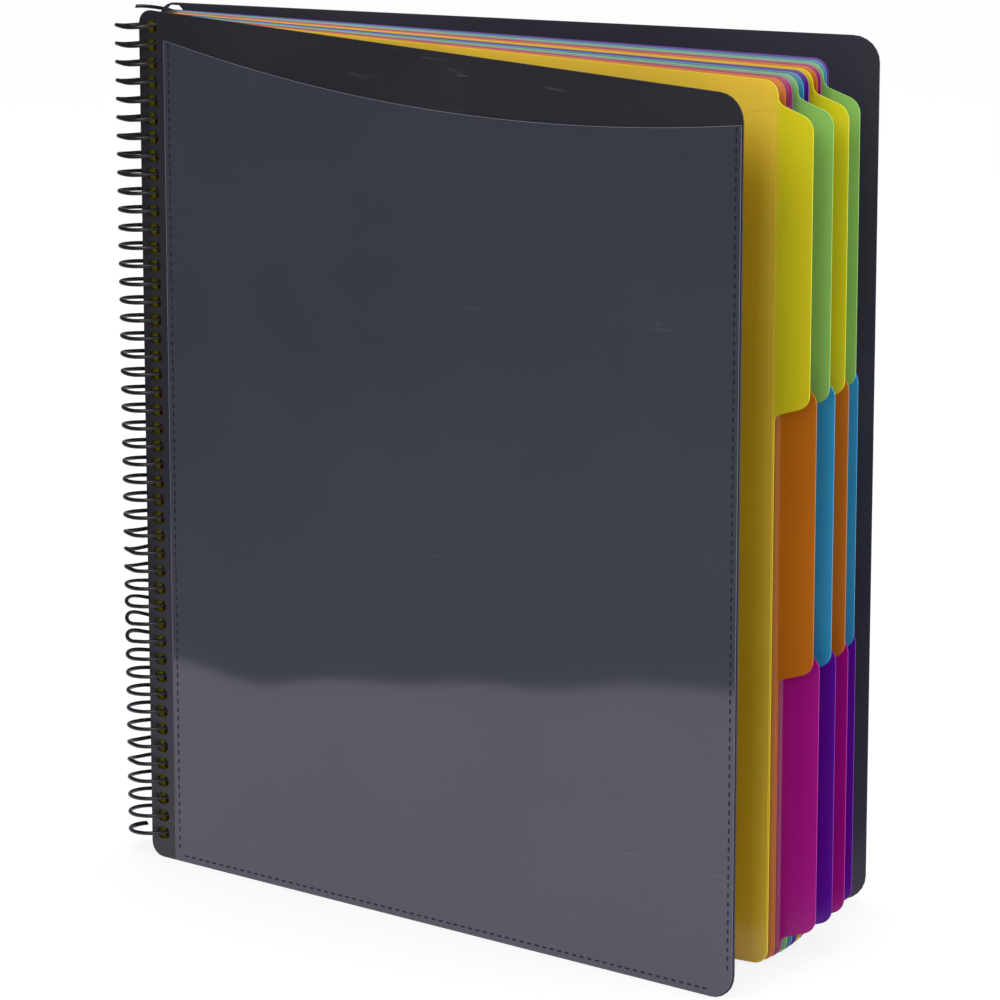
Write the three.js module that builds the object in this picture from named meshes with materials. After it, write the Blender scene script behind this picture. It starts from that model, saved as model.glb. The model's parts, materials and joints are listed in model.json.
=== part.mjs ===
// Spiral-bound project organizer: two poly covers and twelve tabbed pocket dividers on one wire coil.
// Millimetres, +Z up. It stands on the bottom edges of its leaves, fanned open.
import * as THREE from 'three';

// Leaves, from the front cover (0) through the dividers (1 to 12) to the back cover (13)
const DIVIDER_COUNT = 12;
const LAST_LEAF = DIVIDER_COUNT + 1;

// Coil
const COIL_PITCH = 6.35;
const COIL_RADIUS = 10.4;
const WIRE_RADIUS = 0.6;
const WIRE_SIDES = 5;
const STEPS_PER_TURN = 12;
const TOP_TAIL_DEG = 115;
const BOTTOM_TAIL_DEG = -240;
const TAIL_BEND_DEG = 30;
const TAIL_BEND_IN = 0.6;
const TOP_LOOP_BELOW_COVER_TOP = 5.3;
const LOWEST_LOOP_ABOVE_FOOT = 6;

// Covers
const COVER_WIDTH = 248.5;
const COVER_HEIGHT = 300;
const COVER_THICKNESS = 0.6;
const COVER_CORNER = 9;
const COVER_BOUND_CORNER = 5;
const LOOP_COUNT =
  Math.floor((COVER_HEIGHT - TOP_LOOP_BELOW_COVER_TOP - LOWEST_LOOP_ABOVE_FOOT) / COIL_PITCH) + 1;

// Dividers
const DIVIDER_WIDTH = 238.4;
const DIVIDER_SHORTER_BY = 2.5;
const DIVIDER_HEIGHT = COVER_HEIGHT - DIVIDER_SHORTER_BY;
const DIVIDER_LIFT = 0.5;
const DIVIDER_THICKNESS = 0.3;
const DIVIDER_CORNER = 5;
const DIVIDER_BOUND_CORNER = 3;
const TAB_REACH = 12.6;
const TAB_FROM_END = 11.7;
const TAB_OVERLAP = 3.7;
const TAB_OUTER_LENGTH = (DIVIDER_HEIGHT - 2 * TAB_FROM_END + 2 * TAB_OVERLAP) / 3;
const TAB_PITCH = TAB_OUTER_LENGTH - TAB_OVERLAP;
const TAB_SLOPE_DEG = 19;
const TAB_CORNER = 5.5;
const TAB_FILLET = 3;

// Punched holes
const HOLE_FROM_EDGE = 5.3;
const HOLE_HALF_WIDTH = 2.6;
const HOLE_HALF_HEIGHT = 2.1;
const HOLE_CORNER_CUT = 1.2;
const DIVIDER_HOLE_HALF_WIDTH = 2.4;
const DIVIDER_HOLE_HALF_HEIGHT = 1.95;

// Height of the wire above the middle of the hole that it runs through, with the leaves at rest
const WIRE_IN_FRONT_HOLE = 0.1;
const WIRE_IN_DIVIDER_HOLE = 0.8;
const WIRE_IN_BACK_HOLE = -0.55;

// Pocket films
const FILM_THICKNESS = 0.12;
const FILM_GAP = 0.12;
const FILM_FROM_BOUND_EDGE = 11;
const FILM_INSET = 0.5;
const MOUTH_DROP = 9.5;
const MOUTH_SAG = 10;
const MOUTH_STEPS = 10;

// Fan: how far each leaf is turned towards the viewer from the +X direction
const FRONT_COVER_DEG = -37.3;
const FIRST_DIVIDER_DEG = -29.3;
const LAST_DIVIDER_DEG = -22.3;
const BACK_COVER_DEG = -14.8;
const LEAF_STEP = 1.05;

const CORNER_STEPS = 6;
const rad = THREE.MathUtils.degToRad;

const poly = (color, roughness) => new THREE.MeshStandardMaterial({ color, roughness, metalness: 0 });
const coverPoly = poly(0x2d2e33, 0.45);
const filmPoly = poly(0x55565f, 0.2);
const wirePaint = new THREE.MeshStandardMaterial({ color: 0x101012, roughness: 0.35, metalness: 0.2 });
const dividerPoly = [0xe1be3c, 0xd2691e, 0x9a1480, 0x5aa050, 0x2a76b0, 0x4b1278].map((c) => poly(c, 0.4));

// A leaf's sideways place in the stack, and the way from the stack's middle to its row of holes
const leafOffset = (leaf) => (leaf - LAST_LEAF / 2) * LEAF_STEP;
const reachToWire = (leaf) => Math.sqrt(COIL_RADIUS ** 2 - leafOffset(leaf) ** 2);

function leafAngleDeg(leaf) {
  if (leaf === 0) return FRONT_COVER_DEG;
  if (leaf === LAST_LEAF) return BACK_COVER_DEG;
  return THREE.MathUtils.mapLinear(leaf, 1, DIVIDER_COUNT, FIRST_DIVIDER_DEG, LAST_DIVIDER_DEG);
}

// Where round the coil a leaf meets the wire, and how high the wire is there
const wireAngleDeg = (leaf) =>
  leafAngleDeg(leaf) + THREE.MathUtils.radToDeg(Math.asin(leafOffset(leaf) / COIL_RADIUS));
const TOP_WIRE_HEIGHT = COVER_HEIGHT - TOP_LOOP_BELOW_COVER_TOP;
const wireHeight = (angleDeg, loop) =>
  TOP_WIRE_HEIGHT - loop * COIL_PITCH + ((angleDeg - wireAngleDeg(0)) / 360) * COIL_PITCH;

// The coil's centre line: a right-handed helix whose two cut ends are bent inwards
class CoilCurve extends THREE.Curve {
  constructor() {
    super();
    this.startDeg = BOTTOM_TAIL_DEG - (LOOP_COUNT - 1) * 360;
    this.endDeg = TOP_TAIL_DEG;
  }

  getPoint(t, target = new THREE.Vector3()) {
    const deg = THREE.MathUtils.lerp(this.startDeg, this.endDeg, t);
    const toEnd = Math.min(deg - this.startDeg, this.endDeg - deg);
    const bend = 1 - THREE.MathUtils.smoothstep(toEnd, 0, TAIL_BEND_DEG);
    const radius = COIL_RADIUS - TAIL_BEND_IN * bend;
    return target.set(radius * Math.cos(rad(deg)), radius * Math.sin(rad(deg)), wireHeight(deg, 0));
  }
}

function coilGeometry() {
  const section = new THREE.Shape();
  for (let side = 0; side < WIRE_SIDES; side += 1) {
    const angle = (side / WIRE_SIDES) * 2 * Math.PI;
    const point = [WIRE_RADIUS * Math.cos(angle), WIRE_RADIUS * Math.sin(angle)];
    if (side === 0) section.moveTo(...point);
    else section.lineTo(...point);
  }
  const path = new CoilCurve();
  const steps = Math.round(((path.endDeg - path.startDeg) / 360) * STEPS_PER_TURN);
  return new THREE.ExtrudeGeometry(section, { steps, extrudePath: path, bevelEnabled: false });
}

// A polygon with each corner rounded by its own radius: corners are [x, y, radius], anticlockwise
function roundedShape(corners) {
  const shape = new THREE.Shape();
  corners.forEach(([x, y, radius], index) => {
    const corner = new THREE.Vector2(x, y);
    const before = corners.at(index - 1);
    const after = corners[(index + 1) % corners.length];
    const toBefore = new THREE.Vector2(before[0] - x, before[1] - y).normalize();
    const toAfter = new THREE.Vector2(after[0] - x, after[1] - y).normalize();
    const halfAngle = Math.acos(toBefore.dot(toAfter)) / 2;
    const reach = radius / Math.tan(halfAngle);
    const start = corner.clone().addScaledVector(toBefore, reach);
    const end = corner.clone().addScaledVector(toAfter, reach);
    const inward = toBefore.clone().add(toAfter).normalize();
    const centre = corner.clone().addScaledVector(inward, radius / Math.sin(halfAngle));
    if (index === 0) shape.moveTo(start.x, start.y);
    else shape.lineTo(start.x, start.y);
    const from = start.clone().sub(centre).angle();
    const turn = new THREE.Vector2(start.x - centre.x, start.y - centre.y).cross(end.clone().sub(centre));
    const sweep = (Math.PI - 2 * halfAngle) * Math.sign(turn);
    for (let step = 1; step <= CORNER_STEPS; step += 1) {
      const angle = from + (sweep * step) / CORNER_STEPS;
      shape.lineTo(centre.x + radius * Math.cos(angle), centre.y + radius * Math.sin(angle));
    }
  });
  return shape;
}

// Wide holes with a flat top and bottom: eight corners on a cover, four on a divider
const HOLE_TOP_HALF = HOLE_HALF_WIDTH - HOLE_CORNER_CUT;
const HOLE_SIDE_HALF = HOLE_HALF_HEIGHT - HOLE_CORNER_CUT;
const COVER_HOLE = [
  [HOLE_HALF_WIDTH, HOLE_SIDE_HALF],
  [HOLE_TOP_HALF, HOLE_HALF_HEIGHT],
  [-HOLE_TOP_HALF, HOLE_HALF_HEIGHT],
  [-HOLE_HALF_WIDTH, HOLE_SIDE_HALF],
  [-HOLE_HALF_WIDTH, -HOLE_SIDE_HALF],
  [-HOLE_TOP_HALF, -HOLE_HALF_HEIGHT],
  [HOLE_TOP_HALF, -HOLE_HALF_HEIGHT],
  [HOLE_HALF_WIDTH, -HOLE_SIDE_HALF],
];
const DIVIDER_HOLE = [
  [DIVIDER_HOLE_HALF_WIDTH, DIVIDER_HOLE_HALF_HEIGHT],
  [-DIVIDER_HOLE_HALF_WIDTH, DIVIDER_HOLE_HALF_HEIGHT],
  [-DIVIDER_HOLE_HALF_WIDTH, -DIVIDER_HOLE_HALF_HEIGHT],
  [DIVIDER_HOLE_HALF_WIDTH, -DIVIDER_HOLE_HALF_HEIGHT],
];

// Each leaf is punched where the wire meets it, so that it can swing along the wire without binding
function punch(shape, leaf, outline, wireInHole, bottom) {
  for (let loop = 0; loop < LOOP_COUNT; loop += 1) {
    const height = wireHeight(wireAngleDeg(leaf), loop) - wireInHole - bottom;
    const hole = new THREE.Path();
    hole.setFromPoints(outline.map(([x, y]) => new THREE.Vector2(HOLE_FROM_EDGE + x, height + y)));
    shape.holes.push(hole);
  }
  return shape;
}

function coverShape() {
  return roundedShape([
    [0, 0, COVER_BOUND_CORNER],
    [COVER_WIDTH, 0, COVER_CORNER],
    [COVER_WIDTH, COVER_HEIGHT, COVER_CORNER],
    [0, COVER_HEIGHT, COVER_BOUND_CORNER],
  ]);
}

// A third-cut tab on the free edge: row 0 at the top, 1 in the middle, 2 at the bottom
function dividerShape(row) {
  const middle = DIVIDER_HEIGHT / 2 + (1 - row) * TAB_PITCH;
  const rise = TAB_REACH * Math.tan(rad(TAB_SLOPE_DEG));
  const tabX = DIVIDER_WIDTH + TAB_REACH;
  const halfTab = TAB_OUTER_LENGTH / 2;
  return roundedShape([
    [0, 0, DIVIDER_BOUND_CORNER],
    [DIVIDER_WIDTH, 0, DIVIDER_CORNER],
    [DIVIDER_WIDTH, middle - halfTab - rise, TAB_FILLET],
    [tabX, middle - halfTab, TAB_CORNER],
    [tabX, middle + halfTab, TAB_CORNER],
    [DIVIDER_WIDTH, middle + halfTab + rise, TAB_FILLET],
    [DIVIDER_WIDTH, DIVIDER_HEIGHT, DIVIDER_CORNER],
    [0, DIVIDER_HEIGHT, DIVIDER_BOUND_CORNER],
  ]);
}

// A pocket film: straight down both sides and along the bottom, with a mouth that sags in the middle
function filmShape(width, height, corner) {
  const left = FILM_FROM_BOUND_EDGE;
  const right = width - FILM_INSET;
  const shape = new THREE.Shape();
  shape.moveTo(left, FILM_INSET);
  for (let step = 0; step <= CORNER_STEPS; step += 1) {
    const angle = (Math.PI / 2) * (step / CORNER_STEPS - 1);
    shape.lineTo(right - corner + corner * Math.cos(angle), FILM_INSET + corner + corner * Math.sin(angle));
  }
  for (let step = 0; step <= MOUTH_STEPS; step += 1) {
    const across = 1 - step / MOUTH_STEPS;
    const sag = MOUTH_SAG * (1 - (2 * across - 1) ** 2);
    shape.lineTo(THREE.MathUtils.lerp(left, right, across), height - MOUTH_DROP - sag);
  }
  return shape;
}

// An upright sheet in a leaf's own frame: x along the leaf, z up, its front face towards -y
function sheetMesh(name, shape, thickness, frontY, bottom, material) {
  const geometry = new THREE.ExtrudeGeometry(shape, { depth: thickness, bevelEnabled: false });
  const mesh = new THREE.Mesh(geometry, material);
  mesh.name = name;
  mesh.rotation.x = Math.PI / 2;
  mesh.position.set(0, frontY + thickness, bottom);
  return mesh;
}

// A leaf hangs on the coil: turned about the coil's axis and shifted to its place in the stack
function leafGroup(leaf) {
  const fan = new THREE.Group();
  fan.rotation.z = rad(leafAngleDeg(leaf));
  const seat = new THREE.Group();
  seat.position.set(reachToWire(leaf) - HOLE_FROM_EDGE, leafOffset(leaf), 0);
  fan.add(seat);
  organizer.add(fan);
  return seat;
}

function addCover(leaf, name, wireInHole) {
  const seat = leafGroup(leaf);
  const shape = punch(coverShape(), leaf, COVER_HOLE, wireInHole, 0);
  seat.add(sheetMesh(name, shape, COVER_THICKNESS, -COVER_THICKNESS / 2, 0, coverPoly));
  return seat;
}

function addDivider(leaf) {
  const seat = leafGroup(leaf);
  const name = `divider_${String(leaf).padStart(2, '0')}`;
  const material = dividerPoly[(leaf - 1) % dividerPoly.length];
  const shape = punch(dividerShape((leaf - 1) % 3), leaf, DIVIDER_HOLE, WIRE_IN_DIVIDER_HOLE, DIVIDER_LIFT);
  const half = DIVIDER_THICKNESS / 2;
  seat.add(sheetMesh(name, shape, DIVIDER_THICKNESS, -half, DIVIDER_LIFT, material));
  const film = filmShape(DIVIDER_WIDTH, DIVIDER_HEIGHT, DIVIDER_CORNER);
  const frontFilmY = -half - FILM_GAP - FILM_THICKNESS;
  seat.add(sheetMesh(`${name}_front_pocket`, film, FILM_THICKNESS, frontFilmY, DIVIDER_LIFT, material));
  seat.add(sheetMesh(`${name}_back_pocket`, film, FILM_THICKNESS, half + FILM_GAP, DIVIDER_LIFT, material));
}

const organizer = new THREE.Group();

const coil = new THREE.Mesh(coilGeometry(), wirePaint);
coil.name = 'coil';
organizer.add(coil);

const frontCover = addCover(0, 'front_cover', WIRE_IN_FRONT_HOLE);
const coverFilm = filmShape(COVER_WIDTH, COVER_HEIGHT, COVER_CORNER);
const coverFilmY = -COVER_THICKNESS / 2 - FILM_GAP - FILM_THICKNESS;
frontCover.add(sheetMesh('front_cover_pocket', coverFilm, FILM_THICKNESS, coverFilmY, 0, filmPoly));
for (let leaf = 1; leaf <= DIVIDER_COUNT; leaf += 1) addDivider(leaf);
addCover(LAST_LEAF, 'back_cover', WIRE_IN_BACK_HOLE);

// The origin is the middle of the whole part's footprint, on the surface that it stands on
const footprint = new THREE.Box3().setFromObject(organizer, true).getCenter(new THREE.Vector3());
organizer.position.set(-footprint.x, -footprint.y, 0);
const model = new THREE.Group();
model.add(organizer);

export default model;
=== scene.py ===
"""Spiral-bound project organizer, standing fanned open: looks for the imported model."""
import json
import math

import bpy
from mathutils import Matrix, Vector


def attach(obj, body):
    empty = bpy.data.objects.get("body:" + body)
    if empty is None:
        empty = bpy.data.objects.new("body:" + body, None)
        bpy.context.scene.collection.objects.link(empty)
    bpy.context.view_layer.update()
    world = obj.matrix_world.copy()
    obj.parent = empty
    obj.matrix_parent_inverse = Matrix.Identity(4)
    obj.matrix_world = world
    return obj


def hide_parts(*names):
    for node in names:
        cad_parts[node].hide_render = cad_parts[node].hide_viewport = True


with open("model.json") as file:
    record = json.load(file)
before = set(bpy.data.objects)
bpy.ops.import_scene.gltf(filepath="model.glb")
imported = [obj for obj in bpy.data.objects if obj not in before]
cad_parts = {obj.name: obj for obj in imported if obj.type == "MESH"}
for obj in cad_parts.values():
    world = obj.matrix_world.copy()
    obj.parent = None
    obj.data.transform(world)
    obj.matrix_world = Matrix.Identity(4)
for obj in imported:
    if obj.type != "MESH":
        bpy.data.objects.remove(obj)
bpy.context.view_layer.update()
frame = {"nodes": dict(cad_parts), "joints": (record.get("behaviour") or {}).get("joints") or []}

NODES = frame["nodes"]

# Sizes, in metres
MM = 0.001
COIL_PITCH = 6.35 * MM
COIL_RADIUS = 10.4 * MM
WIRE_RADIUS = 0.7 * MM
WIRE_SIDES = 12
WIRE_STEPS = 36
COIL_TOP_DEG = 115
COIL_BOTTOM_DEG = -240 - 45 * 360
FRONT_WIRE_DEG = -78.3
TOP_WIRE_HEIGHT = 294.7 * MM
TAIL_BEND_DEG = 30
TAIL_BEND_IN = 0.6 * MM

# Handling has bent some loops on their free side: the height of each such place, its reach up and
# down the coil, how far the loops' outer ends are lifted there, and how far their halves are pressed
# together
LOOP_BENDS = (
    (35 * MM, 9 * MM, -0.2 * MM, 0.6 * MM),
    (82 * MM, 12 * MM, 1.6 * MM, -0.6 * MM),
    (108 * MM, 10 * MM, -0.1 * MM, 0.9 * MM),
    (168 * MM, 30 * MM, 0.3 * MM, 0.2 * MM),
    (280 * MM, 45 * MM, 0.0, 0.5 * MM),
)
FREE_SIDE_DEG = 167
FREE_SIDE_HALF_DEG = 64

COVER_WIDTH = 248.5 * MM
COVER_HEIGHT = 300 * MM
COVER_HALF = 0.3 * MM
COVER_CORNER = 9 * MM
DIVIDER_WIDTH = 238.4 * MM
DIVIDER_HEIGHT = 297.5 * MM
DIVIDER_LIFT = 0.5 * MM
DIVIDER_HALF = 0.15 * MM
DIVIDER_CORNER = 5 * MM
DIVIDER_COUNT = 12
LAST_LEAF = DIVIDER_COUNT + 1
LEAF_STEP = 1.05 * MM
HOLE_FROM_EDGE = 5.3 * MM
EDGE_BEVEL = 0.1 * MM
BEVEL_OVER_DEG = 60
WIRE_SMOOTH_DEG = 40

# Pocket films, their mouths and their welded seams
FILM_FRONT = 0.24 * MM
FILM_FROM_BOUND_EDGE = 11 * MM
FILM_INSET = 0.5 * MM
MOUTH_DROP = 9.5 * MM
MOUTH_SAG = 10 * MM
COVER_FILM_EDGE_RADIUS = 0.15 * MM
DIVIDER_FILM_EDGE_RADIUS = 0.07 * MM
FILM_EDGE_STEPS = 24
CORNER_HANDLE = 0.45
SEAM_IN = 1.9 * MM
DASH_PITCH = 3.1 * MM
DASH_LENGTH = 1.6 * MM
DASH_WIDTH = 0.6 * MM
DASH_PROUD = 0.05 * MM

# Fan: how far each leaf is turned towards the viewer from +X
FRONT_COVER_DEG = -37.3
FIRST_DIVIDER_DEG = -29.3
LAST_DIVIDER_DEG = -22.3

# Camera of the photograph
CAMERA_PLACE = (0.00268, -1.85619, 0.65006)
CAMERA_DOWN_DEG = 15.18
CAMERA_LENS = 208.0
SENSOR_WIDTH = 36.0
FAR_CLIP = 100

# Soft lamps: place, aim, size and watts
LAMPS = {
    "key_light": ((-0.9, -1.3, 1.6), (0, 0, 0.15), (1.2, 1.2), 22),
    "fill_light": ((1.6, -0.9, 1.0), (0.1, 0, 0.15), (1.0, 1.4), 24),
    "top_light": ((0.1, 0.3, 1.8), (0, 0, 0.2), (1.4, 1.0), 16),
}
ROOM_LIGHT = 0.85
FLOOR_SIZE = 60
FLOOR_WHITE = 0.8

# What glossy surfaces see: a white sweep that ends to the left of the coil, and a darker floor and
# room beyond it. The sweep's edge passes SWEEP_EDGE_X at y = 0, leans by a share of y and has one
# step in it. The floor beyond gets darker from the near to the far place.
SWEEP_EDGE_X = -0.313
SWEEP_EDGE_LEAN = -0.32
SWEEP_STEP = -0.036
SWEEP_STEP_Y = (-0.02, 0.004)
ROOM_GLOSS = 0.12
FAR_FLOOR_GLOSS = 0.09
NEAR_FLOOR_GLOSS = 0.26
SWEEP_GLOSS = 1.07
SWEEP_TINT = (0.87, 0.84, 1.0, 1)
FAR_FLOOR_X = -0.95
NEAR_FLOOR_X = -0.35

# Zones of a divider by the distance from the coil's axis, and the heights between which the painted
# shade on a pocket film fades out
TAB_FROM_AXIS = 243 * MM
BOUND_MARGIN = 12 * MM
TAB_BLEND = 3 * MM
FILM_BLEND = 8 * MM
SHADE_TOP = 289 * MM
SHADE_FULL = 264 * MM

# A face is a sheet's broad side when it faces across the leaf by more than the first share, and a
# cut edge by less than the second
FACE_FACING = 0.6
EDGE_FACING = 0.35

HINGE = Vector(frame["joints"][0]["pos_m"])

# Poly colours in linear light: the tab, the sheet, and the sheet under a pocket film, with painted shade
# of the front cover in it.
# A cut edge is a tab's colour made lighter as a painted highlight, and the bound margin, in the shade of
# the coil, is made darker as painted shade.
POLY = {
    "yellow": ((0.70, 0.63, 0.014), (0.86, 0.62, 0.06), (0.64, 0.385, 0.016)),
    "orange": ((0.56, 0.165, 0.005), (0.72, 0.30, 0.10), (0.50, 0.16, 0.02)),
    "magenta": ((0.40, 0.001, 0.25), (0.55, 0.17, 0.30), (0.40, 0.003, 0.22)),
    "green": ((0.27, 0.54, 0.135), (0.32, 0.60, 0.36), (0.25, 0.48, 0.12)),
    "blue": ((0.03, 0.32, 0.58), (0.22, 0.36, 0.48), (0.02, 0.28, 0.58)),
    "purple": ((0.125, 0.001, 0.35), (0.22, 0.14, 0.40), (0.12, 0.002, 0.34)),
}
POLY_ORDER = tuple(POLY)
EDGE_LIGHTER = 1.4
EDGE_LIFT = 0.02
EDGE_LIGHTEST = 0.9
BOUND_DARKER = 0.3

# Other colours in linear light
CHARCOAL = (0.0125, 0.0125, 0.0175)
BLACK = (0.021, 0.0205, 0.029)
CLEAR_ON_CHARCOAL = (0.0264, 0.0292, 0.040)
WELD_DARK = (0.012, 0.013, 0.019)
# Painted highlight: the cover film's cut edge is given a pale colour for the light it catches.
FILM_EDGE_HIGHLIGHT = (0.085, 0.09, 0.115)
WIRE_BLACK = (0.004, 0.004, 0.005)
SCUFF_GRAY = (0.5, 0.5, 0.5, 1)

# How the surfaces take light
POLY_IOR = 1.5
FILM_IOR = 1.7
COVER_ROUGHNESS = 0.4
COVER_WAVES = 0.25
CLEAR_FILM_ROUGHNESS = 0.07
FILM_EDGE_ROUGHNESS = 0.35
WELD_SPECULAR = 0.12
WIRE_ROUGHNESS = 0.3
SHEET_ROUGHNESS = 0.34
SHEET_THROUGH = 0.3
DIVIDER_FILM_ROUGHNESS = 0.2
DIVIDER_FILM_THROUGH = 0.25

# The poly surface's noises: grains to the metre, and the part of the noise that counts
WAVES_SCALE = 9
WAVES_HEIGHT = 1.2 * MM
CLOUD_SCALE = 14
CLOUD_RANGE = (0.3, 0.7)
SCUFF_SCALE = 60
SCUFF_RANGE = (0.64, 0.76)
SCUFF_TURN = (0.3, 0.9, 0.2)
SCUFF_STRETCH = (1, 1, 9)
WORN_SCALE = 16
WORN_RANGE = (0.58, 0.72)


def deselect():
    for item in bpy.context.selected_objects:
        item.select_set(False)


def set_mode(mode):
    bpy.ops.object.mode_set(mode=mode)


def activate(piece):
    deselect()
    piece.select_set(True)
    bpy.context.view_layer.objects.active = piece


def apply_modifier(piece, kind, name, **settings):
    """Adds one modifier with its settings and applies it."""
    activate(piece)
    modifier = piece.modifiers.new(name, kind)
    for key, value in settings.items():
        setattr(modifier, key, value)
    bpy.ops.object.modifier_apply(modifier=modifier.name)


def apply_place(piece):
    activate(piece)
    bpy.ops.object.transform_apply(location=True, rotation=True, scale=True)


def join(pieces, name):
    activate(pieces[0])
    for piece in pieces[1:]:
        piece.select_set(True)
    if len(pieces) > 1:
        bpy.ops.object.join()
    pieces[0].name = name
    return pieces[0]


def leaf_angle(leaf):
    if leaf == 0:
        return FRONT_COVER_DEG
    share = (leaf - 1) / (DIVIDER_COUNT - 1)
    return FIRST_DIVIDER_DEG + (LAST_DIVIDER_DEG - FIRST_DIVIDER_DEG) * share


def leaf_place(leaf):
    """From a leaf's own frame (x along it, z up, front face towards -y) to the organizer's."""
    offset = (leaf - LAST_LEAF / 2) * LEAF_STEP
    reach = math.sqrt(COIL_RADIUS**2 - offset**2)
    turned = Matrix.Translation((HINGE.x, HINGE.y, 0)) @ Matrix.Rotation(
        math.radians(leaf_angle(leaf)), 4, "Z"
    )
    return turned @ Matrix.Translation((reach - HOLE_FROM_EDGE, offset, 0))


def new_group(name, inputs, outputs):
    group = bpy.data.node_groups.new(name, "ShaderNodeTree")
    for label, kind, value in inputs:
        socket = group.interface.new_socket(label, in_out="INPUT", socket_type=kind)
        socket.default_value = value
    for label, kind in outputs:
        group.interface.new_socket(label, in_out="OUTPUT", socket_type=kind)
    start = group.nodes.new("NodeGroupInput")
    end = group.nodes.new("NodeGroupOutput")
    return group, start, end


def noise(nodes, link, place, scale, detail):
    node = nodes.new("ShaderNodeTexNoise")
    node.inputs["Scale"].default_value = scale
    node.inputs["Detail"].default_value = detail
    link(place, node.inputs["Vector"])
    return node


def math_node(nodes, link, operation, *values):
    node = nodes.new("ShaderNodeMath")
    node.operation = operation
    for socket, value in zip(node.inputs, values):
        if isinstance(value, (int, float)):
            socket.default_value = value
        else:
            link(value, socket)
    return node.outputs["Value"]


def vector_node(nodes, link, operation, *values):
    node = nodes.new("ShaderNodeVectorMath")
    node.operation = operation
    for socket, value in zip(node.inputs, values):
        if isinstance(value, tuple):
            socket.default_value = value
        else:
            link(value, socket)
    return node


def remap(nodes, link, value, low, high, to_low, to_high):
    node = nodes.new("ShaderNodeMapRange")
    node.inputs["From Min"].default_value = low
    node.inputs["From Max"].default_value = high
    node.inputs["To Min"].default_value = to_low
    node.inputs["To Max"].default_value = to_high
    link(value, node.inputs["Value"])
    return node.outputs["Result"]


def poly_surface_group():
    """Extruded poly: slow waves, faint clouds in the colour, uneven gloss and scuffs."""
    group, start, end = new_group(
        "poly_surface",
        [
            ("Color", "NodeSocketColor", (0.5, 0.5, 0.5, 1)),
            ("Roughness", "NodeSocketFloat", 0.4),
            ("Waves", "NodeSocketFloat", 0.3),
            ("Cloud", "NodeSocketFloat", 0.1),
            ("Scuffs", "NodeSocketFloat", 0.1),
        ],
        [("Color", "NodeSocketColor"), ("Roughness", "NodeSocketFloat"), ("Normal", "NodeSocketVector")],
    )
    nodes, link = group.nodes, group.links.new
    place = nodes.new("ShaderNodeTexCoord").outputs["Object"]

    waves = noise(nodes, link, place, WAVES_SCALE, 1)
    slow = nodes.new("ShaderNodeBump")
    slow.inputs["Distance"].default_value = WAVES_HEIGHT
    link(start.outputs["Waves"], slow.inputs["Strength"])
    link(waves.outputs["Fac"], slow.inputs["Height"])
    link(slow.outputs["Normal"], end.inputs["Normal"])

    cloud = noise(nodes, link, place, CLOUD_SCALE, 2)
    swing = remap(nodes, link, cloud.outputs["Fac"], *CLOUD_RANGE, -1, 1)
    shade = math_node(nodes, link, "MULTIPLY_ADD", swing, start.outputs["Cloud"], 1)

    long_way = nodes.new("ShaderNodeMapping")
    long_way.inputs["Rotation"].default_value = SCUFF_TURN
    long_way.inputs["Scale"].default_value = SCUFF_STRETCH
    link(place, long_way.inputs["Vector"])
    scratch = noise(nodes, link, long_way.outputs["Vector"], SCUFF_SCALE, 3)
    lines = remap(nodes, link, scratch.outputs["Fac"], *SCUFF_RANGE, 0, 1)
    patches = noise(nodes, link, place, WORN_SCALE, 0)
    worn = remap(nodes, link, patches.outputs["Fac"], *WORN_RANGE, 0, 1)
    scuffed = math_node(nodes, link, "MULTIPLY", lines, worn)
    scuffed = math_node(nodes, link, "MULTIPLY", scuffed, start.outputs["Scuffs"])

    tint = vector_node(nodes, link, "SCALE", start.outputs["Color"])
    link(shade, tint.inputs["Scale"])
    pale = nodes.new("ShaderNodeMix")
    pale.data_type = "RGBA"
    pale.inputs["B"].default_value = SCUFF_GRAY
    link(scuffed, pale.inputs["Factor"])
    link(tint.outputs["Vector"], pale.inputs["A"])
    link(pale.outputs["Result"], end.inputs["Color"])

    gloss = math_node(nodes, link, "MULTIPLY", start.outputs["Roughness"], shade)
    link(math_node(nodes, link, "ADD", gloss, scuffed), end.inputs["Roughness"])
    return group


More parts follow.
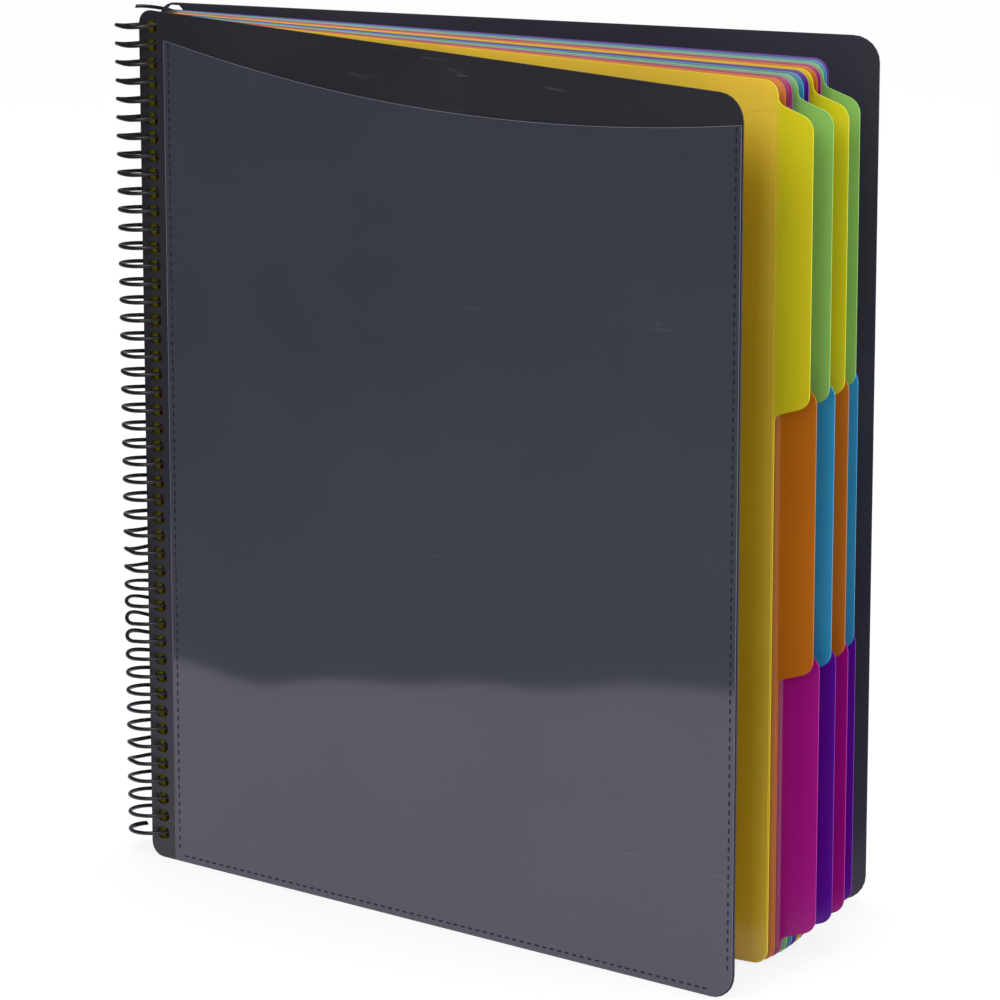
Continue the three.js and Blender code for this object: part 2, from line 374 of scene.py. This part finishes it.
def divider_zones_group():
    """Masks of a divider: its tab, the part above its pocket, its bound margin and its cut edges."""
    group, start, end = new_group(
        "divider_zones", [("Blend", "NodeSocketFloat", TAB_BLEND)],
        [(name, "NodeSocketFloat") for name in ("Tab", "Above", "Bound", "Edge")],
    )
    nodes, link = group.nodes, group.links.new
    coordinates = nodes.new("ShaderNodeTexCoord")
    place = coordinates.outputs["Object"]
    away = vector_node(nodes, link, "SUBTRACT", place, (HINGE.x, HINGE.y, 0)).outputs["Vector"]
    flat = vector_node(nodes, link, "MULTIPLY", away, (1, 1, 0)).outputs["Vector"]
    reach = vector_node(nodes, link, "LENGTH", flat).outputs["Value"]
    past = math_node(nodes, link, "SUBTRACT", reach, TAB_FROM_AXIS)
    past = math_node(nodes, link, "DIVIDE", past, start.outputs["Blend"])
    tab = math_node(nodes, link, "ADD", past, 1)
    inside = nodes.new("ShaderNodeClamp")
    link(tab, inside.inputs["Value"])
    link(inside.outputs["Result"], end.inputs["Tab"])
    link(remap(nodes, link, reach, BOUND_MARGIN, BOUND_MARGIN - TAB_BLEND, 0, 1), end.inputs["Bound"])
    height = nodes.new("ShaderNodeSeparateXYZ")
    link(place, height.inputs["Vector"])
    link(remap(nodes, link, height.outputs["Z"], SHADE_FULL, SHADE_TOP, 0, 1), end.inputs["Above"])

    normal = coordinates.outputs["Normal"]
    outward = vector_node(nodes, link, "NORMALIZE", flat).outputs["Vector"]
    across = vector_node(nodes, link, "CROSS_PRODUCT", outward, (0, 0, 1)).outputs["Vector"]
    facing = vector_node(nodes, link, "DOT_PRODUCT", normal, across).outputs["Value"]
    facing = math_node(nodes, link, "ABSOLUTE", facing)
    link(remap(nodes, link, facing, FACE_FACING, EDGE_FACING, 0, 1), end.inputs["Edge"])
    return group


def poly_material(
    name, color, roughness, through=0.0, ior=POLY_IOR, blend=TAB_BLEND, zones=(), **surface_values
):
    """A poly sheet: the shared surface, its zones' colours, and a share of light passing through."""
    material = bpy.data.materials.new(name)
    material.use_nodes = True
    nodes, link = material.node_tree.nodes, material.node_tree.links.new
    shader = nodes["Principled BSDF"]
    surface = nodes.new("ShaderNodeGroup")
    surface.node_tree = SURFACE
    surface.inputs["Color"].default_value = (*color, 1)
    if zones:
        masks = nodes.new("ShaderNodeGroup")
        masks.node_tree = DIVIDER_ZONES
        masks.inputs["Blend"].default_value = blend
        below = None
        for output, zone_color in zones:
            both = nodes.new("ShaderNodeMix")
            both.data_type = "RGBA"
            both.inputs["A"].default_value = (*color, 1)
            both.inputs["B"].default_value = (*zone_color, 1)
            link(masks.outputs[output], both.inputs["Factor"])
            if below:
                link(below.outputs["Result"], both.inputs["A"])
            below = both
        link(below.outputs["Result"], surface.inputs["Color"])
    surface.inputs["Roughness"].default_value = roughness
    for label, value in surface_values.items():
        surface.inputs[label].default_value = value
    link(surface.outputs["Color"], shader.inputs["Base Color"])
    link(surface.outputs["Roughness"], shader.inputs["Roughness"])
    link(surface.outputs["Normal"], shader.inputs["Normal"])
    shader.inputs["IOR"].default_value = ior
    if through:
        back_light = nodes.new("ShaderNodeBsdfTranslucent")
        link(surface.outputs["Color"], back_light.inputs["Color"])
        mix = nodes.new("ShaderNodeMixShader")
        mix.inputs["Fac"].default_value = through
        link(shader.outputs["BSDF"], mix.inputs[1])
        link(back_light.outputs["BSDF"], mix.inputs[2])
        link(mix.outputs["Shader"], nodes["Material Output"].inputs["Surface"])
    return material


def dress(piece, material):
    piece.data.materials.clear()
    piece.data.materials.append(material)


def loop_bend(height, turned_deg):
    """How far the wire is bent up at a height and an angle round the coil."""
    off = (turned_deg - FREE_SIDE_DEG + 180) % 360 - 180
    if abs(off) >= FREE_SIDE_HALF_DEG:
        return 0
    share = off / FREE_SIDE_HALF_DEG
    bent = 0
    for middle, reach, lift, press in LOOP_BENDS:
        near = math.exp(-(((height - middle) / reach) ** 2))
        bent += near * (lift * math.cos(share * math.pi / 2) ** 2 + press * math.sin(share * math.pi))
    return bent


def coil_wire():
    """The spiral: a round section screwed up round the coil's axis, its two ends bent inwards."""
    start_height = TOP_WIRE_HEIGHT + (COIL_BOTTOM_DEG - FRONT_WIRE_DEG) / 360 * COIL_PITCH
    turns_deg = COIL_TOP_DEG - COIL_BOTTOM_DEG
    bpy.ops.mesh.primitive_circle_add(
        vertices=WIRE_SIDES, radius=WIRE_RADIUS,
        location=(COIL_RADIUS, 0, 0), rotation=(math.pi / 2, 0, 0),
    )
    coil = bpy.context.object
    coil.name = "coil_wire"
    apply_place(coil)
    steps = round(turns_deg / 360 * WIRE_STEPS)
    apply_modifier(
        coil, "SCREW", "turns", axis="Z", angle=math.radians(turns_deg), steps=steps, render_steps=steps,
        screw_offset=turns_deg / 360 * COIL_PITCH, iterations=1, use_merge_vertices=False,
    )
    set_mode("EDIT")
    bpy.ops.mesh.select_all(action="DESELECT")
    bpy.ops.mesh.select_non_manifold(use_boundary=True)
    bpy.ops.mesh.edge_face_add()
    bpy.ops.mesh.select_all(action="SELECT")
    bpy.ops.mesh.normals_make_consistent(inside=False)
    set_mode("OBJECT")
    rise = turns_deg / 360 * COIL_PITCH
    for vertex in coil.data.vertices:
        along = min(max(vertex.co.z / rise, 0), 1) * turns_deg
        round_coil = COIL_BOTTOM_DEG + math.degrees(math.atan2(vertex.co.y, vertex.co.x))
        lift = loop_bend(start_height + vertex.co.z, round_coil)
        to_end = min(along, turns_deg - along)
        share = min(to_end / TAIL_BEND_DEG, 1)
        bend = 1 - share * share * (3 - 2 * share)
        radius = math.hypot(vertex.co.x, vertex.co.y)
        vertex.co.xy *= (radius - TAIL_BEND_IN * bend) / radius
        vertex.co.z += lift
    coil.data.transform(Matrix.Rotation(math.radians(COIL_BOTTOM_DEG), 4, "Z"))
    coil.data.transform(Matrix.Translation((HINGE.x, HINGE.y, start_height)))
    activate(coil)
    bpy.ops.object.shade_smooth_by_angle(angle=math.radians(WIRE_SMOOTH_DEG))
    dress(coil, poly_material("coil_black", WIRE_BLACK, WIRE_ROUGHNESS, Waves=0.0, Scuffs=0.0))
    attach(coil, "coil")
    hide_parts("coil")


def dash_row(start, length, upright, front):
    """A straight row of small pressed dashes, in a leaf's own frame."""
    count = round(length / DASH_PITCH)
    pitch = length / count
    across, up = (DASH_WIDTH, DASH_LENGTH) if upright else (DASH_LENGTH, DASH_WIDTH)
    bpy.ops.mesh.primitive_cube_add(
        size=1, location=(start[0], front, start[1]), scale=(across, DASH_PROUD * 2, up)
    )
    dash = bpy.context.object
    apply_place(dash)
    step = (0, 0, pitch) if upright else (pitch, 0, 0)
    apply_modifier(
        dash, "ARRAY", "row", count=count + 1, use_relative_offset=False,
        use_constant_offset=True, constant_offset_displace=step,
    )
    return dash


def welded_seam(leaf, body, width, height, corner, half, bottom, material, slot, all_round):
    """The heat-welded seam that holds a pocket film: a row of dashes just inside its edge."""
    front = -half - FILM_FRONT
    right = width - FILM_INSET - SEAM_IN
    low = bottom + FILM_INSET + SEAM_IN
    top = bottom + height - MOUTH_DROP - SEAM_IN
    foot = low + corner
    rows = [dash_row((right, foot), top - foot, True, front)]
    if all_round:
        left = FILM_FROM_BOUND_EDGE + SEAM_IN
        rows.append(dash_row((left, low + DASH_PITCH), top - low - DASH_PITCH, True, front))
        rows.append(dash_row((left + DASH_PITCH, low), right - corner - left - DASH_PITCH, False, front))
    seam = join(rows, f"{body}_pocket_weld")
    seam.data.transform(leaf_place(leaf))
    dress(seam, material)
    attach(seam, body)


def film_edge(leaf, body, width, height, corner, half, bottom, material, slot, radius):
    """A pocket film's cut edge, which catches the light: the sagging mouth, the sides and the foot."""
    left, right = FILM_FROM_BOUND_EDGE, width - FILM_INSET
    top, low = bottom + height - MOUTH_DROP, bottom + FILM_INSET
    dip = top - MOUTH_SAG * 4 / 3
    third = (right - left) / 3
    round_off = corner * CORNER_HANDLE
    front = -half - FILM_FRONT
    bends = [
        ((left, top), (left, top), (left + third, dip)),
        ((right, top), (right - third, dip), (right, top)),
        ((right, low + corner), (right, low + corner), (right, low + round_off)),
        ((right - corner, low), (right - round_off, low), (right - corner, low)),
        ((left, low), (left, low), (left, low)),
    ]
    bpy.ops.curve.primitive_bezier_curve_add()
    edge = bpy.context.object
    edge.name = f"{body}_pocket_edge"
    spline = edge.data.splines[0]
    spline.bezier_points.add(len(bends) - 2)
    spline.use_cyclic_u = True
    for point, (place, before, after) in zip(spline.bezier_points, bends):
        point.handle_left_type = point.handle_right_type = "FREE"
        point.co = (place[0], front, place[1])
        point.handle_left = (before[0], front, before[1])
        point.handle_right = (after[0], front, after[1])
    edge.data.resolution_u = FILM_EDGE_STEPS
    edge.data.bevel_depth = radius
    edge.data.bevel_resolution = 1
    activate(edge)
    bpy.ops.object.convert(target="MESH")
    edge.data.transform(leaf_place(leaf))
    dress(edge, material)
    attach(edge, body)


def camera():
    bpy.ops.object.camera_add(
        location=CAMERA_PLACE, rotation=(math.radians(90 - CAMERA_DOWN_DEG), 0, 0)
    )
    view = bpy.context.object
    view.name = "photo_camera"
    view.data.lens = CAMERA_LENS
    view.data.sensor_width = SENSOR_WIDTH
    view.data.clip_end = FAR_CLIP
    bpy.context.scene.camera = view


def area_light(name, place, target, size, power):
    aim = (Vector(target) - Vector(place)).to_track_quat("-Z", "Y").to_euler()
    bpy.ops.object.light_add(type="AREA", location=place, rotation=aim)
    lamp = bpy.context.object
    lamp.name = name
    lamp.data.shape = "RECTANGLE"
    lamp.data.size, lamp.data.size_y = size
    lamp.data.energy = power


def sweep_material():
    """White to the camera, plain white to the light, and darker past its left edge in reflections."""
    material = bpy.data.materials.new("studio_floor_white")
    material.use_nodes = True
    material.cycles.emission_sampling = "NONE"
    nodes, link = material.node_tree.nodes, material.node_tree.links.new
    shader = nodes.new("ShaderNodeBsdfDiffuse")
    shader.inputs["Color"].default_value = (FLOOR_WHITE, FLOOR_WHITE, FLOOR_WHITE, 1)
    rays = nodes.new("ShaderNodeLightPath")
    white = nodes.new("ShaderNodeEmission")
    mirrored = nodes.new("ShaderNodeEmission")
    mirrored.inputs["Color"].default_value = SWEEP_TINT
    place = nodes.new("ShaderNodeSeparateXYZ")
    link(nodes.new("ShaderNodeTexCoord").outputs["Object"], place.inputs["Vector"])
    gloss = remap(
        nodes, link, place.outputs["X"], FAR_FLOOR_X, NEAR_FLOOR_X, FAR_FLOOR_GLOSS, NEAR_FLOOR_GLOSS
    )
    edge = math_node(nodes, link, "MULTIPLY_ADD", place.outputs["Y"], SWEEP_EDGE_LEAN, SWEEP_EDGE_X)
    step = remap(nodes, link, place.outputs["Y"], *SWEEP_STEP_Y, 0, SWEEP_STEP)
    edge = math_node(nodes, link, "ADD", edge, step)
    beyond = math_node(nodes, link, "LESS_THAN", place.outputs["X"], edge)
    gloss = math_node(nodes, link, "SUBTRACT", gloss, SWEEP_GLOSS)
    gloss = math_node(nodes, link, "MULTIPLY_ADD", gloss, beyond, SWEEP_GLOSS)
    link(gloss, mirrored.inputs["Strength"])
    reflected = nodes.new("ShaderNodeMixShader")
    link(rays.outputs["Is Glossy Ray"], reflected.inputs["Fac"])
    link(shader.outputs["BSDF"], reflected.inputs[1])
    link(mirrored.outputs["Emission"], reflected.inputs[2])
    seen = nodes.new("ShaderNodeMixShader")
    to_camera = math_node(nodes, link, "MULTIPLY", rays.outputs["Is Camera Ray"], FLOOR_WHITE)
    link(to_camera, seen.inputs["Fac"])
    link(reflected.outputs["Shader"], seen.inputs[1])
    link(white.outputs["Emission"], seen.inputs[2])
    link(seen.outputs["Shader"], nodes["Material Output"].inputs["Surface"])
    return material


def studio_world():
    world = bpy.data.worlds.new("studio_world")
    bpy.context.scene.world = world
    world.use_nodes = True
    nodes, link = world.node_tree.nodes, world.node_tree.links.new
    room = nodes["Background"]
    room.inputs["Color"].default_value = (1, 1, 1, 1)
    rays = nodes.new("ShaderNodeLightPath")
    strength = remap(nodes, link, rays.outputs["Is Glossy Ray"], 0, 1, ROOM_LIGHT, ROOM_GLOSS)
    link(strength, room.inputs["Strength"])


def studio():
    """A pale floor, a white room and three soft lamps."""
    bpy.ops.mesh.primitive_plane_add(size=FLOOR_SIZE, location=(0, 0, 0))
    floor = bpy.context.object
    floor.name = "studio_floor"
    dress(floor, sweep_material())
    studio_world()
    for name, values in LAMPS.items():
        area_light(name, *values)


def covers():
    charcoal = poly_material("cover_charcoal_poly", CHARCOAL, COVER_ROUGHNESS, Waves=COVER_WAVES)
    black = poly_material("cover_black_poly", BLACK, COVER_ROUGHNESS, Waves=COVER_WAVES)
    dress(NODES["front_cover"], charcoal)
    dress(NODES["back_cover"], black)
    for name in ("front_cover", "back_cover"):
        apply_modifier(
            NODES[name], "BEVEL", "cut_edge", width=EDGE_BEVEL, segments=2,
            limit_method="ANGLE", angle_limit=math.radians(BEVEL_OVER_DEG),
        )
    film = poly_material(
        "pocket_film", CLEAR_ON_CHARCOAL, CLEAR_FILM_ROUGHNESS, ior=FILM_IOR,
        Waves=0.9, Cloud=0.05, Scuffs=0.05,
    )
    dress(NODES["front_cover_pocket"], film)
    weld = poly_material("pocket_weld", WELD_DARK, FILM_EDGE_ROUGHNESS)
    weld.node_tree.nodes["Principled BSDF"].inputs["Specular IOR Level"].default_value = WELD_SPECULAR
    # The cover film's cut edge in a pale colour: a painted highlight.
    edge = poly_material("pocket_cut_edge_highlight", FILM_EDGE_HIGHLIGHT, FILM_EDGE_ROUGHNESS)
    shape = (COVER_WIDTH, COVER_HEIGHT, COVER_CORNER, COVER_HALF, 0)
    welded_seam(0, "front_cover", *shape, weld, "clear_film", True)
    film_edge(0, "front_cover", *shape, edge, "clear_film", COVER_FILM_EDGE_RADIUS)


def dividers():
    sheets, films = {}, {}
    for name, (tab_color, sheet_color, shaded_film_color) in POLY.items():
        # Cut edges get a lighter tab colour: a painted highlight of the light they catch.
        edge_highlight_color = [min(part * EDGE_LIGHTER + EDGE_LIFT, EDGE_LIGHTEST) for part in tab_color]
        # The bound margin gets a darker tab colour: painted shade of the coil and the leaves around it.
        margin_shade_color = [part * BOUND_DARKER for part in tab_color]
        sheets[name] = poly_material(
            f"divider_{name}_poly", sheet_color, SHEET_ROUGHNESS, SHEET_THROUGH,
            zones=(("Tab", tab_color), ("Edge", edge_highlight_color), ("Bound", margin_shade_color)),
            Cloud=0.06, Scuffs=0.03,
        )
        # Pocket films carry painted shade of the front cover: their darker colour fades to the sheet's
        # colour towards the tab and towards the top of the pocket.
        films[name] = poly_material(
            f"divider_{name}_film", shaded_film_color, DIVIDER_FILM_ROUGHNESS, DIVIDER_FILM_THROUGH,
            blend=FILM_BLEND, zones=(("Tab", sheet_color), ("Above", sheet_color)),
            Cloud=0.06, Scuffs=0.03,
        )
    shape = (DIVIDER_WIDTH, DIVIDER_HEIGHT, DIVIDER_CORNER, DIVIDER_HALF, DIVIDER_LIFT)
    for leaf in range(1, DIVIDER_COUNT + 1):
        color = POLY_ORDER[(leaf - 1) % len(POLY_ORDER)]
        name = f"divider_{leaf:02d}"
        slot = f"poly_{color}"
        dress(NODES[name], sheets[color])
        dress(NODES[f"{name}_front_pocket"], films[color])
        dress(NODES[f"{name}_back_pocket"], films[color])
        welded_seam(leaf, name, *shape, films[color], slot, False)
        film_edge(leaf, name, *shape, films[color], slot, DIVIDER_FILM_EDGE_RADIUS)


deselect()
camera()
SURFACE = poly_surface_group()
DIVIDER_ZONES = divider_zones_group()
covers()
dividers()
coil_wire()
studio()

bpy.context.scene.view_settings.view_transform = "Standard"
